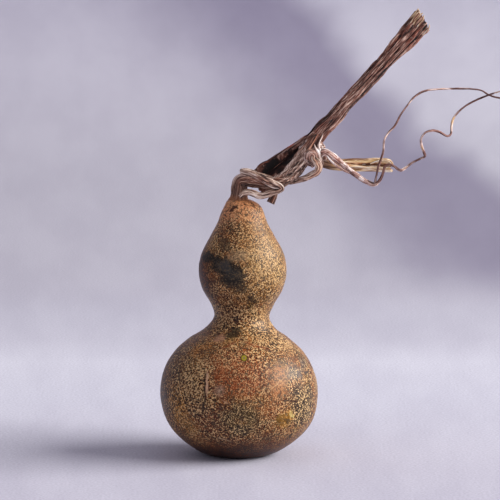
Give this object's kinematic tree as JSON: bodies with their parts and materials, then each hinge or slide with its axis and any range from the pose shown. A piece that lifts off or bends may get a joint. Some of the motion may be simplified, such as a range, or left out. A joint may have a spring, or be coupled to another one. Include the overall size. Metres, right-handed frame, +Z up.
{
  "type": "dried bottle gourd",
  "caption": "Small dried bottle gourd with a round belly, waist and upper bulb, standing on its bottom, with its twisted stem, a length of dry vine, a leaf stalk and curling tendrils.",
  "frame": {"origin": "middle of the small flat spot under the belly that the gourd rests on", "axes": "+Z up through the gourd's waist, +X towards the side that the vine and tendrils reach to, +Y away from the viewer of the picture"},
  "size_m": [0.1053, 0.0469, 0.1335],
  "materials": {
    "gourd_skin": "hard dry rind with a soft gloss, brown mottled with ochre, dark mould stains and pale worm-like flecks",
    "stem_fibre": "matt twisted grey-brown fibre",
    "dry_vine": "matt dark brown fibre with paler torn ends",
    "straw": "matt yellow straw with dark grooves",
    "tendril": "satin brown strand, paler and pinkish in places"
  },
  "bodies": {
    "root": {"gourd": "gourd_skin", "fruit_stem": "stem_fibre", "vine": "dry_vine", "leaf_stalk": "straw", "forked_tendril": "tendril", "clasping_tendril": "tendril"}
  },
  "joints": []
}
